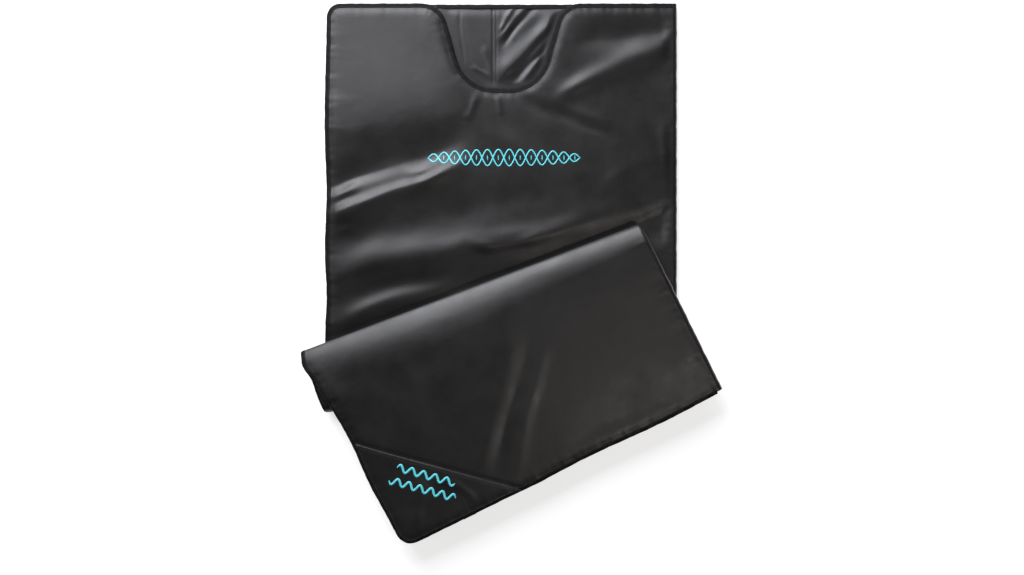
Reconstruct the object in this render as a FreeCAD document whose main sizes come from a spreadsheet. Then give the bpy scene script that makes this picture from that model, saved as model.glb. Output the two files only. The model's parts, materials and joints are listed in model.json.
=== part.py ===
"""Infrared sauna blanket: a padded bag with a spine on its right and a hook-and-loop edge on its left.

The blanket is drawn rolled out flat, in the strip frame: the head end at Y = 0, the foot end at
Y = -full_length, the back panel at the bottom and the cover on top. It is stored folded in a Z, so
each section of the strip is then turned over its fold line. The finished part has its origin at the
middle of its bounding box, on the floor, with the head end towards +Y and +Z up. Millimetres.
"""
import FreeCAD, Part
import math
import os
import Sketcher
from FreeCAD import Placement, Rotation, Vector

SIZES = [
    ("width", 900.0, "closed blanket, side to side"),
    ("full_length", 1775.0, "head end to foot end, rolled out"),
    ("shell", 1.2, "outer leatherette"),
    ("felt", 6.0, "insulating felt"),
    ("heater_mat", 1.2, "carbon heating mat"),
    ("mineral", 2.4, "quilted charcoal and crystal layer"),
    ("lining", 1.0, "wipe-clean inner lining"),
    ("bag_gap", 0.4, "air between the back panel and the cover"),
    ("half_gap", 0.2, "half of the gap left between two folded sections"),
    ("tape", 12.0, "edge binding, seen width"),
    ("closure", 25.0, "hook-and-loop strip width"),
    ("head_corner", 38.0, "outer corner radius, head end"),
    ("foot_corner", 43.0, "outer corner radius, foot end"),
    ("lower_fold", 987.5, "head end to the lower fold, on the centre line"),
    ("lower_angle", 7.6, "turn of the lower fold line"),
    ("upper_fold", 1259.5, "head end to the upper fold, on the centre line"),
    ("upper_angle", -5.5, "turn of the upper fold line in the flat strip"),
    ("crease_drop", 830.0, "left end of the cover's peel crease below the head end"),
    ("shoulder_place", 205.0, "centre of the neckline's shoulder arc, off the centre line"),
    ("shoulder_arc", 66.0, "neckline's shoulder radius"),
    ("scoop_place", 18.0, "centre of the neckline's lower arc, off the centre line"),
    ("scoop_arc", 100.0, "neckline's lower radius"),
    ("scoop_depth", 218.0, "neckline's depth"),
    ("patch_side", 300.0, "corner patch, along the side"),
    ("patch_end", 340.0, "corner patch, along the foot end"),
    ("inlet_place", 260.0, "power inlet, left of the centre line"),
    ("inlet_wide", 30.0, "inlet housing, across"),
    ("inlet_deep", 24.0, "inlet housing, into the blanket"),
    ("inlet_tall", 11.0, "inlet housing, thickness"),
    ("inlet_bore", 4.0, "radius of the plug's bore"),
    ("bore_depth", 14.0, "depth of the plug's bore"),
    ("insulator_wide", 16.0, "insulating plate behind the housing, across"),
    ("insulator_deep", 4.0, "insulating plate, thickness"),
    ("contact", 0.9, "radius of a contact tube"),
    ("contact_pitch", 3.4, "distance between the two contacts"),
    ("bay_wide", 60.0, "electrical bay in the felt, across"),
    ("bay_long", 110.0, "electrical bay in the felt, along the blanket"),
    ("contact_tail", 4.0, "contact tube behind the insulator"),
    ("can_wide", 15.0, "thermostat can, across"),
    ("can_long", 22.0, "thermostat can, along the blanket"),
    ("can_tall", 4.0, "thermostat can, height"),
    ("can_place", 20.0, "thermostat can's left side, left of the inlet"),
    ("bay_row", 60.0, "near end of the thermostat can, from the foot end"),
    ("cap_inset", 3.0, "step from the can's sides to its cap's"),
    ("cap_tall", 1.5, "thermostat cap, height"),
    ("fuse", 2.0, "radius of the thermal fuse"),
    ("fuse_long", 14.0, "thermal fuse, length"),
    ("fuse_place", 12.0, "thermal fuse, right of the inlet"),
    ("wire", 0.5, "radius of the fuse's wire"),
    ("wire_tail", 8.0, "wire showing at each end of the fuse"),
    ("lead_wide", 4.0, "flat lead, width"),
    ("lead_tall", 3.0, "flat lead, thickness"),
    ("lead_lift", 1.5, "leads above the shell"),
    ("lead_turn", 12.0, "far side of the bridging lead, past the fuse's wire"),
]

size = {alias: value for alias, value, note in SIZES}
doc = FreeCAD.newDocument("sauna_blanket")
sheet = doc.addObject("Spreadsheet::Sheet", "Sizes")
for row, (alias, value, note) in enumerate(SIZES, start=1):
    sheet.set(f"A{row}", note)
    sheet.set(f"B{row}", str(value))
    sheet.setAlias(f"B{row}", alias)
doc.recompute()

# Each panel's layers from the outside in, with the cell that holds each one's thickness.
LAYERS = [
    ("shell", "Sizes.shell"),
    ("insulation", "Sizes.felt"),
    ("heating_mat", "Sizes.heater_mat"),
    ("mineral_layer", "Sizes.mineral"),
    ("lining", "Sizes.lining"),
]
PANEL = "(Sizes.shell+Sizes.felt+Sizes.heater_mat+Sizes.mineral+Sizes.lining)"
BAG = f"(2*{PANEL}+Sizes.bag_gap)"
SPINE_EDGE = f"(Sizes.width/2-{BAG}/2)"
FOOT_END = "(-Sizes.full_length)"
REACH = 1600.0
TALL = 80.0
panel_thickness = size["shell"] + size["felt"] + size["heater_mat"] + size["mineral"] + size["lining"]
bag_thickness = 2 * panel_thickness + size["bag_gap"]
spine_edge = size["width"] / 2 - bag_thickness / 2

nodes = {}


def bind(item, expressions):
    """Tie each property of an object to an expression on the sheet."""
    for path, expression in expressions.items():
        item.setExpression(path, str(expression))
    return item


def box(name, low, extent, pivot=("0", "0"), turn="0"):
    """A box from its low corner, in a frame turned about Z at the pivot."""
    angle = f"({turn})*1deg"
    item = doc.addObject("Part::Box", name)
    item.Placement = Placement(Vector(0, 0, 0), Rotation(Vector(0, 0, 1), 1))
    return bind(item, {
        "Length": extent[0],
        "Width": extent[1],
        "Height": extent[2],
        "Placement.Rotation.Angle": angle,
        "Placement.Base.x": f"({pivot[0]})+cos({angle})*({low[0]})-sin({angle})*({low[1]})",
        "Placement.Base.y": f"({pivot[1]})+sin({angle})*({low[0]})+cos({angle})*({low[1]})",
        "Placement.Base.z": low[2],
    })


def rod(name, radius, length, start, rotation):
    """A cylinder from its start point, along the turned Z axis."""
    item = doc.addObject("Part::Cylinder", name)
    item.Placement = Placement(Vector(0, 0, 0), rotation)
    return bind(item, {
        "Radius": radius,
        "Height": length,
        "Placement.Base.x": start[0],
        "Placement.Base.y": start[1],
        "Placement.Base.z": start[2],
    })


def fuse(name, *pieces):
    item = doc.addObject("Part::MultiFuse", name)
    item.Shapes = list(pieces)
    item.Refine = True
    return item


def cut(name, base, *tools):
    for number, tool in enumerate(tools):
        step = doc.addObject("Part::Cut", f"{name}_cut{number}")
        step.Base = base
        step.Tool = tool
        base = step
    return base


def common(name, first, *others):
    for number, other in enumerate(others):
        step = doc.addObject("Part::Common", f"{name}_common{number}")
        step.Base = first
        step.Tool = other
        first = step
    return first


def publish(label, item, section):
    """Keep a finished sub-part under its name, with the section that it belongs to."""
    item.Label = label
    nodes[label] = (item, section)
    return item


def slab(name, low, thickness):
    """Everything between two heights."""
    corner = (-REACH, f"{FOOT_END}-10", low)
    return box(name, corner, (2 * REACH, "Sizes.full_length+20", thickness))


def strip(name, inset):
    """The blanket's outline, without its spine, set in from every bound edge."""
    left = f"(-Sizes.width/2+{inset})"
    wide = f"({SPINE_EDGE}+Sizes.width/2-{inset})"
    centre_foot = f"({FOOT_END}+Sizes.foot_corner)"
    plain = box(
        f"{name}_plain",
        (left, centre_foot, -TALL / 2),
        (wide, "Sizes.full_length-Sizes.foot_corner-Sizes.head_corner", TALL),
    )
    ends = []
    for end, radius, low, rise in (
        ("head", "Sizes.head_corner", "-Sizes.head_corner", f"Sizes.head_corner-{inset}"),
        ("foot", "Sizes.foot_corner", f"{FOOT_END}+{inset}", f"Sizes.foot_corner-{inset}"),
    ):
        centre_y = "-Sizes.head_corner" if end == "head" else centre_foot
        edge = f"(-Sizes.width/2+{radius})"
        ends.append(box(f"{name}_{end}", (edge, low, -TALL / 2), (f"{SPINE_EDGE}-{edge}", rise, TALL)))
        start = (edge, centre_y, -TALL / 2)
        ends.append(rod(f"{name}_{end}_round", f"{radius}-{inset}", TALL, start, Rotation()))
    return fuse(name, plain, *ends)


def fold_side(name, fold, side, inset):
    """One side of a fold, with the outer half of its end rounded like half of a roll.

    side is 1 towards the head end and -1 towards the foot end. The lower fold's roll is at the back
    and the upper fold's is at the cover.
    """
    pivot = ("0", f"-Sizes.{fold}_fold")
    turn = f"Sizes.{fold}_angle"
    radius = f"({BAG}+Sizes.half_gap)"
    offset = f"({radius}+Sizes.half_gap)"
    near = offset if side > 0 else f"(-{REACH}-{offset})"
    low = inset if fold == "lower" else f"{BAG}-{inset}-{TALL}"
    flat = box(f"{name}_flat", (-REACH / 2, near, low), (REACH, REACH, TALL), pivot, turn)
    angle = f"({turn})*1deg"
    shift = f"({side}*{offset})"
    start = (
        f"-cos({angle})*{REACH / 2}-sin({angle})*{shift}",
        f"{pivot[1]}-sin({angle})*{REACH / 2}+cos({angle})*{shift}",
        radius if fold == "lower" else "-Sizes.half_gap",
    )
    along = Rotation(Vector(0, 0, 1), size[f"{fold}_angle"]) * Rotation(Vector(0, 1, 0), 90)
    roll = rod(f"{name}_roll", f"{radius}-{inset}", REACH, start, along)
    return fuse(name, flat, roll)


def level_direction(angle):
    """A level unit vector at an angle in radians."""
    return Vector(math.cos(angle), math.sin(angle), 0)


def neckline(name, inset):
    """The neck cut-out as a prism: two shoulder arcs, two lower arcs and the tangents between them."""
    shoulder = Vector(size["shoulder_place"], -size["shoulder_arc"], 0)
    scoop = Vector(size["scoop_place"], size["scoop_arc"] - size["scoop_depth"], 0)
    shoulder_arc = size["shoulder_arc"] - inset
    scoop_arc = size["scoop_arc"] + inset
    between = shoulder - scoop
    lean = math.atan2(between.y, between.x) - math.acos((shoulder_arc + scoop_arc) / between.Length)
    normal = level_direction(lean)
    upper = level_direction((math.pi / 2 + math.pi + lean) / 2)
    lower = level_direction((lean - math.pi / 2) / 2)
    top = shoulder + Vector(0, shoulder_arc, 0)
    upper_tangent = shoulder - normal * shoulder_arc
    lower_tangent = scoop + normal * scoop_arc
    bottom = scoop - Vector(0, scoop_arc, 0)
    outside = Vector(top.x, REACH / 20, 0)
    right = [
        Part.LineSegment(outside, top).toShape(),
        Part.Arc(top, shoulder + upper * shoulder_arc, upper_tangent).toShape(),
        Part.LineSegment(upper_tangent, lower_tangent).toShape(),
        Part.Arc(lower_tangent, scoop + lower * scoop_arc, bottom).toShape(),
    ]
    left = [edge.mirror(Vector(0, 0, 0), Vector(1, 0, 0)) for edge in right]
    across = [
        Part.LineSegment(point, Vector(-point.x, point.y, 0)).toShape() for point in (outside, bottom)
    ]
    outline = Part.Wire(Part.__sortEdges__(right + left + across))
    item = doc.addObject("Part::Feature", name)
    item.Shape = Part.Face(outline).extrude(Vector(0, 0, TALL))
    item.Placement = Placement(Vector(0, 0, -TALL / 2), Rotation())
    return item


# Outlines and fold ends that every section is cut from.
outer = strip("outer", "0")
inner = strip("inner", "Sizes.tape")
neck = neckline("neck", 0.0)
neck_inner = neckline("neck_inner", size["tape"])
cover_outer = cut("cover_outer", outer, neck)
cover_inner = cut("cover_inner", inner, neck_inner)
band = cut("band", outer, inner)
cover_band = cut("cover_band", cover_outer, cover_inner)
whole = slab("whole", "0", BAG)
ends = {}
for fold, side, section in (
    ("lower", 1, "head"),
    ("lower", -1, "mid"),
    ("upper", 1, "mid"),
    ("upper", -1, "foot"),
):
    ends[fold, section, "full"] = fold_side(f"{fold}_{section}", fold, side, "0")
    ends[fold, section, "inner"] = fold_side(f"{fold}_{section}_inner", fold, side, "Sizes.shell")
FOLDS_OF = {"head": ["lower"], "mid": ["lower", "upper"], "foot": ["upper"]}

# The cover's crease, from the spine's head end down to the left edge.
crease_turn = "atan2(Sizes.crease_drop; Sizes.width/2+" + SPINE_EDGE + ")/1deg"
crease_pivot = (SPINE_EDGE, "0")
crease_far = box("crease_far", (-REACH, "Sizes.half_gap", -TALL / 2), (2 * REACH, REACH, TALL),
                 crease_pivot, crease_turn)
crease_near = box("crease_near", (-REACH, f"-{REACH}-Sizes.half_gap", -TALL / 2), (2 * REACH, REACH, TALL),
                  crease_pivot, crease_turn)
closure_zone = box("closure_zone", ("-Sizes.width", f"{FOOT_END}-10", -TALL / 2),
                   ("Sizes.width/2+Sizes.tape+Sizes.closure", "Sizes.full_length+20", TALL))

# The power inlet's seat in the back panel and the electrical bay behind it.
INLET_LEFT = "(-Sizes.inlet_place-Sizes.inlet_wide/2)"
INLET_LOW = f"(({PANEL}-Sizes.inlet_tall)/2)"
inlet_seat = box("inlet_seat", (INLET_LEFT, f"{FOOT_END}-1", INLET_LOW),
                 ("Sizes.inlet_wide", "Sizes.inlet_deep+1", "Sizes.inlet_tall"))
bay = box("bay", ("-Sizes.inlet_place-Sizes.bay_wide/2", f"{FOOT_END}+Sizes.inlet_deep", "Sizes.shell"),
          ("Sizes.bay_wide", "Sizes.bay_long", "Sizes.felt"))
patch_turn = "-atan2(Sizes.patch_side; Sizes.patch_end)/1deg"
patch_zone = box("patch_zone", (-REACH / 2, -REACH, -TALL / 2), (REACH, REACH, TALL),
                 ("-Sizes.width/2", f"{FOOT_END}+Sizes.patch_side"), patch_turn)


def within(name, section, item, kind="inner"):
    """Trim an object to one section of the strip."""
    return common(name, item, *[ends[fold, section, kind] for fold in FOLDS_OF[section]])


def levels(panel):
    """Each layer's low height and thickness, for the back panel or for the cover."""
    low = "0" if panel == "back" else f"{PANEL}+Sizes.bag_gap"
    ordered = LAYERS if panel == "back" else LAYERS[::-1]
    result = {}
    for layer, thickness in ordered:
        result[layer] = (low, thickness)
        low = f"{low}+{thickness}"
    return result


def rolled_shell(section, panel, fold):
    """A shell whose end turns up round a fold, on the fold's outer side."""
    name = f"{section}_{panel}_rolled"
    others = [ends[other, section, "inner"] for other in FOLDS_OF[section] if other != fold]
    blank = common(name, whole, inner, ends[fold, section, "full"], *others)
    return cut(name, blank, ends[fold, section, "inner"])


def panel_layers(prefix, section, panel, outline, extra=()):
    """One panel of one section: its layers, its closure strip and no binding."""
    for layer, (low, thickness) in levels(panel).items():
        name = f"{prefix}_{layer}"
        sheet_of_layer = common(f"{name}_sheet", slab(f"{name}_slab", low, thickness), outline, *extra)
        blank = within(f"{name}_trim", section, sheet_of_layer)
        if layer == "lining":
            strip_name = f"{prefix}_{'loop' if panel == 'back' else 'hook'}_strip"
            publish(strip_name, common(strip_name, blank, closure_zone), prefix)
            blank = cut(name, blank, closure_zone)
        if layer == "shell" and prefix in ("head_back", "mid_back"):
            blank = rolled_shell(section, panel, "lower")
        if layer == "shell" and prefix in ("mid_cover", "foot_cover"):
            blank = rolled_shell(section, panel, "upper")
        if prefix == "foot_back":
            blank = cut(f"{name}_seat", blank, inlet_seat)
        if name == "foot_back_insulation":
            blank = cut(f"{name}_bay", blank, bay)
        if name == "foot_cover_shell":
            publish("corner_patch", common("patch", blank, patch_zone), prefix)
            blank = cut(f"{name}_corner", blank, patch_zone)
        publish(name, blank, prefix)


BACK_LEVEL = ("0", PANEL)
COVER_LEVEL = (f"{PANEL}+Sizes.bag_gap", PANEL)
for section in FOLDS_OF:
    panel_layers(f"{section}_back", section, "back", inner)
panel_layers("head_cover", "head", "cover", cover_inner, (crease_near,))
panel_layers("cover_corner", "head", "cover", cover_inner, (crease_far,))
panel_layers("mid_cover", "mid", "cover", inner)
panel_layers("foot_cover", "foot", "cover", inner)

# Edge bindings: one tape round each panel's edge, and one round both panels at the foot end.
foot_band_zone = box("foot_band_zone", (-REACH, f"{FOOT_END}-10", -TALL / 2),
                     (2 * REACH, "10+Sizes.foot_corner", TALL))
for prefix, section, level, outline, extra in (
    ("head_back", "head", BACK_LEVEL, band, ()),
    ("head_cover", "head", COVER_LEVEL, cover_band, (crease_near,)),
    ("cover_corner", "head", COVER_LEVEL, cover_band, (crease_far,)),
    ("mid_back", "mid", BACK_LEVEL, band, ()),
    ("mid_cover", "mid", COVER_LEVEL, band, ()),
    ("foot_back", "foot", BACK_LEVEL, band, ()),
    ("foot_cover", "foot", COVER_LEVEL, band, ()),
):
    name = f"{prefix}_binding"
    tape = common(name, slab(f"{name}_slab", *level), outline, *extra)
    tape = within(f"{name}_trim", section, tape, "full")
    if section == "foot":
        tape = cut(f"{name}_side", tape, foot_band_zone)
    publish(name, tape, prefix)
foot_tape = common("foot_tape", whole, band, foot_band_zone)
tape_notch = box("tape_notch", (INLET_LEFT, f"{FOOT_END}-1", -TALL / 2),
                 ("Sizes.inlet_wide", "Sizes.inlet_deep+1", TALL))
publish("foot_end_binding", cut("foot_end_binding", foot_tape, tape_notch), "foot_back")

# The spine: the shell wrapped round the right side, one length on each section.
along_strip = Rotation(Vector(1, 0, 0), 90)
spine_round = rod("spine_round", f"{BAG}/2", "Sizes.full_length", (SPINE_EDGE, "0", f"{BAG}/2"), along_strip)
spine_zone = box("spine_zone", (SPINE_EDGE, f"{FOOT_END}-10", -TALL / 2),
                 ("Sizes.width", "Sizes.full_length+20", TALL))
spine = common("spine", spine_round, spine_zone)
for section in FOLDS_OF:
    publish(f"{section}_spine", within(f"{section}_spine", section, spine, "full"), section)


def rectangle(body, name, expressions):
    """A rectangle sketched on the body's XZ plane, centred on the origin."""
    sketch = body.newObject("Sketcher::SketchObject", name)
    plane = [item for item in body.Origin.OriginFeatures if item.Role == "XZ_Plane"][0]
    sketch.AttachmentSupport = [(plane, "")]
    sketch.MapMode = "FlatFace"
    corners = [Vector(-1, -1, 0), Vector(1, -1, 0), Vector(1, 1, 0), Vector(-1, 1, 0)]
    for number, corner in enumerate(corners):
        sketch.addGeometry(Part.LineSegment(corner, corners[(number + 1) % 4]), False)
    for number in range(4):
        sketch.addConstraint(Sketcher.Constraint("Coincident", number, 2, (number + 1) % 4, 1))
        direction = "Horizontal" if number % 2 == 0 else "Vertical"
        sketch.addConstraint(Sketcher.Constraint(direction, number))
    sketch.addConstraint(Sketcher.Constraint("Symmetric", 0, 1, 2, 1, -1, 1))
    for label, edge, start in (("across", "DistanceX", 2.0), ("upright", "DistanceY", 2.0)):
        line = 0 if label == "across" else 1
        sketch.addConstraint(Sketcher.Constraint(edge, line, 1, line, 2, start))
        sketch.renameConstraint(sketch.ConstraintCount - 1, label)
        sketch.setExpression(f"Constraints.{label}", expressions[label])
    return sketch


def circles(body, name, radius, pitch, count):
    """One circle or a row of circles on the body's XZ plane."""
    sketch = body.newObject("Sketcher::SketchObject", name)
    plane = [item for item in body.Origin.OriginFeatures if item.Role == "XZ_Plane"][0]
    sketch.AttachmentSupport = [(plane, "")]
    sketch.MapMode = "FlatFace"
    for number in range(count):
        side = 2 * number - (count - 1)
        centre = Vector(side * 2.0, 0, 0)
        circle = sketch.addGeometry(Part.Circle(centre, Vector(0, 0, 1), 1.0), False)
        sketch.addConstraint(Sketcher.Constraint("Radius", circle, 1.0))
        sketch.renameConstraint(sketch.ConstraintCount - 1, f"radius{number}")
        sketch.setExpression(f"Constraints.radius{number}", radius)
        if side:
            sketch.addConstraint(Sketcher.Constraint("DistanceX", -1, 1, circle, 3, side * 2.0))
            sketch.renameConstraint(sketch.ConstraintCount - 1, f"place{number}")
            sketch.setExpression(f"Constraints.place{number}", f"{side}*({pitch})/2")
            sketch.addConstraint(Sketcher.Constraint("PointOnObject", circle, 3, -1))
        else:
            sketch.addConstraint(Sketcher.Constraint("Coincident", circle, 3, -1, 1))
    return sketch


def extrude(body, kind, name, sketch, length, towards_minus_y):
    """Pad or pocket a sketch that lies on the XZ plane."""
    feature = body.newObject(kind, name)
    feature.Profile = sketch
    feature.setExpression("Length", length)
    backwards = kind == "PartDesign::Pocket"
    feature.Reversed = towards_minus_y == backwards
    doc.recompute()
    return feature


def inlet_body(name):
    """A body whose Y axis runs into the blanket from the middle of the inlet's mouth."""
    body = doc.addObject("PartDesign::Body", name)
    middle = Vector(-size["inlet_place"], -size["full_length"], panel_thickness / 2)
    body.Placement = Placement(middle, Rotation())
    return body


def inlet():
    """Housing, insulator and contact tubes of the power inlet."""
    housing = inlet_body("inlet_housing_body")
    block = rectangle(housing, "block", {"across": "Sizes.inlet_wide", "upright": "Sizes.inlet_tall"})
    extrude(housing, "PartDesign::Pad", "block_pad", block, "Sizes.inlet_deep", False)
    bore = circles(housing, "bore", "Sizes.inlet_bore", "0", 1)
    extrude(housing, "PartDesign::Pocket", "bore_pocket", bore, "Sizes.bore_depth", False)
    holes = circles(housing, "holes", "Sizes.contact", "Sizes.contact_pitch", 2)
    extrude(housing, "PartDesign::Pocket", "hole_pocket", holes, "Sizes.inlet_deep+1", False)
    publish("inlet_housing", housing, "foot_back")
    into = Rotation(Vector(1, 0, 0), -90)
    level = f"{PANEL}/2"
    plate = box("insulator_plate", ("-Sizes.inlet_place-Sizes.insulator_wide/2",
                                    f"{FOOT_END}+Sizes.inlet_deep", "Sizes.shell"),
                ("Sizes.insulator_wide", "Sizes.insulator_deep", "Sizes.felt"))
    tubes = []
    for number, side in enumerate((-1, 1)):
        start = (f"-Sizes.inlet_place+({side})*Sizes.contact_pitch/2",
                 f"{FOOT_END}+Sizes.bore_depth", level)
        tubes.append(rod(f"contact{number}", "Sizes.contact",
                         "Sizes.inlet_deep-Sizes.bore_depth+Sizes.insulator_deep+Sizes.contact_tail",
                         start, into))
    publish("inlet_insulator", cut("inlet_insulator", plate, fuse("contact_holes", *tubes)), "foot_back")
    publish("inlet_contacts", fuse("contacts", *tubes), "foot_back")


def bay_pieces():
    """The thermostat, the thermal fuse and their leads, lying in the bay on the shell."""
    floor = "Sizes.shell"
    centre = "-Sizes.inlet_place"
    row = f"{FOOT_END}+Sizes.bay_row"
    left = f"{centre}-Sizes.can_place"
    can = box("thermostat_can", (left, row, floor), ("Sizes.can_wide", "Sizes.can_long", "Sizes.can_tall"))
    cap = box("thermostat_cap", (f"{left}+Sizes.cap_inset", f"{row}+Sizes.cap_inset", f"{floor}+Sizes.can_tall"),
              ("Sizes.can_wide-2*Sizes.cap_inset", "Sizes.can_long-2*Sizes.cap_inset", "Sizes.cap_tall"))
    publish("overheat_thermostat", fuse("thermostat", can, cap), "foot_back")
    into = Rotation(Vector(1, 0, 0), -90)
    axis = (f"{centre}+Sizes.fuse_place", f"{floor}+Sizes.lead_lift+Sizes.lead_tall/2")
    glass = rod("fuse_body", "Sizes.fuse", "Sizes.fuse_long", (axis[0], row, axis[1]), into)
    wires = rod("fuse_wires", "Sizes.wire", "Sizes.fuse_long+2*Sizes.wire_tail",
                (axis[0], f"{row}-Sizes.wire_tail", axis[1]), into)
    publish("thermal_fuse", fuse("thermal_fuse_solid", glass, wires), "foot_back")
    low = f"{floor}+Sizes.lead_lift"
    tail = f"{FOOT_END}+Sizes.inlet_deep+Sizes.insulator_deep+Sizes.contact_tail"
    wire_end = f"{row}+Sizes.fuse_long+Sizes.wire_tail"
    right_lead = f"{centre}+Sizes.fuse_place-Sizes.lead_wide/2"
    left_lead = f"{left}+Sizes.cap_inset"
    runs = [
        ("live_foot", f"{centre}+Sizes.contact_pitch/4", tail, f"{axis[0]}+Sizes.lead_wide/2", None),
        ("live_run", right_lead, tail, f"{axis[0]}+Sizes.lead_wide/2", f"{row}-Sizes.wire_tail"),
        ("return_foot", left_lead, tail, f"{centre}-Sizes.contact_pitch/4", None),
        ("return_run", left_lead, tail, f"{left_lead}+Sizes.lead_wide", row),
        ("bridge_right", right_lead, wire_end, f"{axis[0]}+Sizes.lead_wide/2", f"{wire_end}+Sizes.lead_turn"),
        ("bridge", left_lead, f"{wire_end}+Sizes.lead_turn-Sizes.lead_wide", right_lead,
         f"{wire_end}+Sizes.lead_turn"),
        ("bridge_left", left_lead, f"{row}+Sizes.can_long", f"{left_lead}+Sizes.lead_wide",
         f"{wire_end}+Sizes.lead_turn"),
    ]
    leads = []
    for name, low_x, low_y, high_x, high_y in runs:
        across = f"({high_x})-({low_x})"
        along = f"({high_y})-({low_y})" if high_y else "Sizes.lead_wide"
        leads.append(box(name, (low_x, low_y, low), (across, along, "Sizes.lead_tall")))
    publish("sensor_leads", fuse("leads", *leads), "foot_back")


inlet()
bay_pieces()
doc.recompute()

# Folding: the middle section turns over the lower fold, and the foot section back over the upper one.
lower_point = Vector(0, -size["lower_fold"], bag_thickness + size["half_gap"])
upper_point = Vector(0, -size["upper_fold"], -size["half_gap"])


def fold_direction(angle):
    return Vector(math.cos(math.radians(angle)), math.sin(math.radians(angle)), 0)


def half_turn(point, direction):
    turn = Rotation(direction, 180)
    return Placement(point - turn.multVec(point), turn)


lower_turn = half_turn(lower_point, fold_direction(size["lower_angle"]))
upper_turn = half_turn(upper_point, fold_direction(size["upper_angle"]))
SECTION_PLACES = {"head": Placement(), "mid": lower_turn, "foot": lower_turn.multiply(upper_turn)}


def section_of(group):
    return "head" if group == "cover_corner" else group.split("_")[0]


def placed(label):
    """A sub-part's shape in its folded place, before the origin is moved."""
    item, group = nodes[label]
    shape = item.Shape.copy()
    shape.Placement = SECTION_PLACES[section_of(group)].multiply(shape.Placement)
    return shape


bounds = FreeCAD.BoundBox()
for label in nodes:
    bounds.add(placed(label).optimalBoundingBox(False))
origin_shift = Placement(Vector(-bounds.Center.x, -bounds.Center.y, -bounds.ZMin), Rotation())
for label, (item, group) in nodes.items():
    place = origin_shift.multiply(SECTION_PLACES[section_of(group)])
    item.Placement = place.multiply(item.Placement)
doc.recompute()

for item in doc.Objects:
    if "Invalid" in item.State or "Error" in item.State:
        raise RuntimeError(f"{item.Name} failed: {item.State}")
for label, (item, group) in nodes.items():
    if item.Shape.isNull() or not item.Shape.isValid() or not item.Shape.Solids:
        raise RuntimeError(f"{label} has no valid solid")

os.makedirs("parts", exist_ok=True)
for label, (item, group) in nodes.items():
    item.Shape.exportStep(f"parts/{label}.step")
    box_of_item = item.Shape.optimalBoundingBox(False)
    print(f"{label:28s} solids {len(item.Shape.Solids)} volume {item.Shape.Volume / 1000:9.2f} cm3"
          f" z {box_of_item.ZMin:.2f} to {box_of_item.ZMax:.2f}")


def show(name, vector):
    print(f"{name}: {vector.x:.4f}, {vector.y:.4f}, {vector.z:.4f}")


foot_place = origin_shift.multiply(SECTION_PLACES["foot"])
mid_place = origin_shift.multiply(SECTION_PLACES["mid"])
crease_angle = math.degrees(math.atan2(size["crease_drop"], size["width"] / 2 + spine_edge))
print(f"bounds {bounds.XLength:.2f} x {bounds.YLength:.2f} x {bounds.ZLength:.2f}, {len(nodes)} sub-parts")
show("head end of the centre line", origin_shift.multVec(Vector(0, 0, 0)))
show("lower fold point", origin_shift.multVec(lower_point))
show("lower fold direction", fold_direction(size["lower_angle"]))
show("upper fold point", mid_place.multVec(upper_point))
show("upper fold direction", mid_place.Rotation.multVec(fold_direction(size["upper_angle"])))
show("crease point", origin_shift.multVec(Vector(spine_edge, 0, bag_thickness + size["half_gap"])))
show("crease direction", fold_direction(crease_angle))
show("inlet mouth", foot_place.multVec(
    Vector(-size["inlet_place"], -size["full_length"], panel_thickness / 2)))
show("inlet axis", foot_place.Rotation.multVec(Vector(0, -1, 0)))
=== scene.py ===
"""Looks of the infrared sauna blanket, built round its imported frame.

Every soft piece is first laid out on the blanket rolled out flat, in the frame's own X and Y with a
height w above the back panel's outer face, and fold() then turns it into the stored Z. Metres.
"""
import json
import math

import bpy
import numpy as np
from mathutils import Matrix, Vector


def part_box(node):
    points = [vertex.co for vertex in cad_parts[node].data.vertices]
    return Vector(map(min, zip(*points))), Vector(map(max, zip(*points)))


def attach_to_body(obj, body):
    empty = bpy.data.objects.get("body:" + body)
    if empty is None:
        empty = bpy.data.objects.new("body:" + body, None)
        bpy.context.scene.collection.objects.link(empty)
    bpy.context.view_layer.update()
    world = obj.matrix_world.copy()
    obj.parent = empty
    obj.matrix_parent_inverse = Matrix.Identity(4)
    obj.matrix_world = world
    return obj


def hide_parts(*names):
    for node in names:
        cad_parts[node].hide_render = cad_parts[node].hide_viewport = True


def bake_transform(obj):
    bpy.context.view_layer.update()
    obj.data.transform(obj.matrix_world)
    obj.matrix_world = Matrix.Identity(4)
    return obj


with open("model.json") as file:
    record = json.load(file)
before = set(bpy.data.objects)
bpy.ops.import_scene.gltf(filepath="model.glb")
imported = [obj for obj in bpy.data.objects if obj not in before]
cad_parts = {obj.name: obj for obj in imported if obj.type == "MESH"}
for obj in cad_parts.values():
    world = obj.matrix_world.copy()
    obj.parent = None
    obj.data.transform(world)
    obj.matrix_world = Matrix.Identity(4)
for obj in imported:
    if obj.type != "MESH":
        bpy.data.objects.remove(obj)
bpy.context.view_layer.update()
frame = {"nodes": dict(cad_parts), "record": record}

# ---------------- places from the frame
JOINTS = {joint["name"]: joint for joint in frame["record"]["behaviour"]["joints"]}
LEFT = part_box("head_back_binding")[0][0]
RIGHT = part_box("head_spine")[1][0]
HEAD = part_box("head_back_binding")[1][1]
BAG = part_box("head_spine")[1][2]
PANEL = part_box("head_back_binding")[1][2]
MIDDLE = (LEFT + RIGHT) / 2
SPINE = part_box("head_spine")[0][0]

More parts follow.
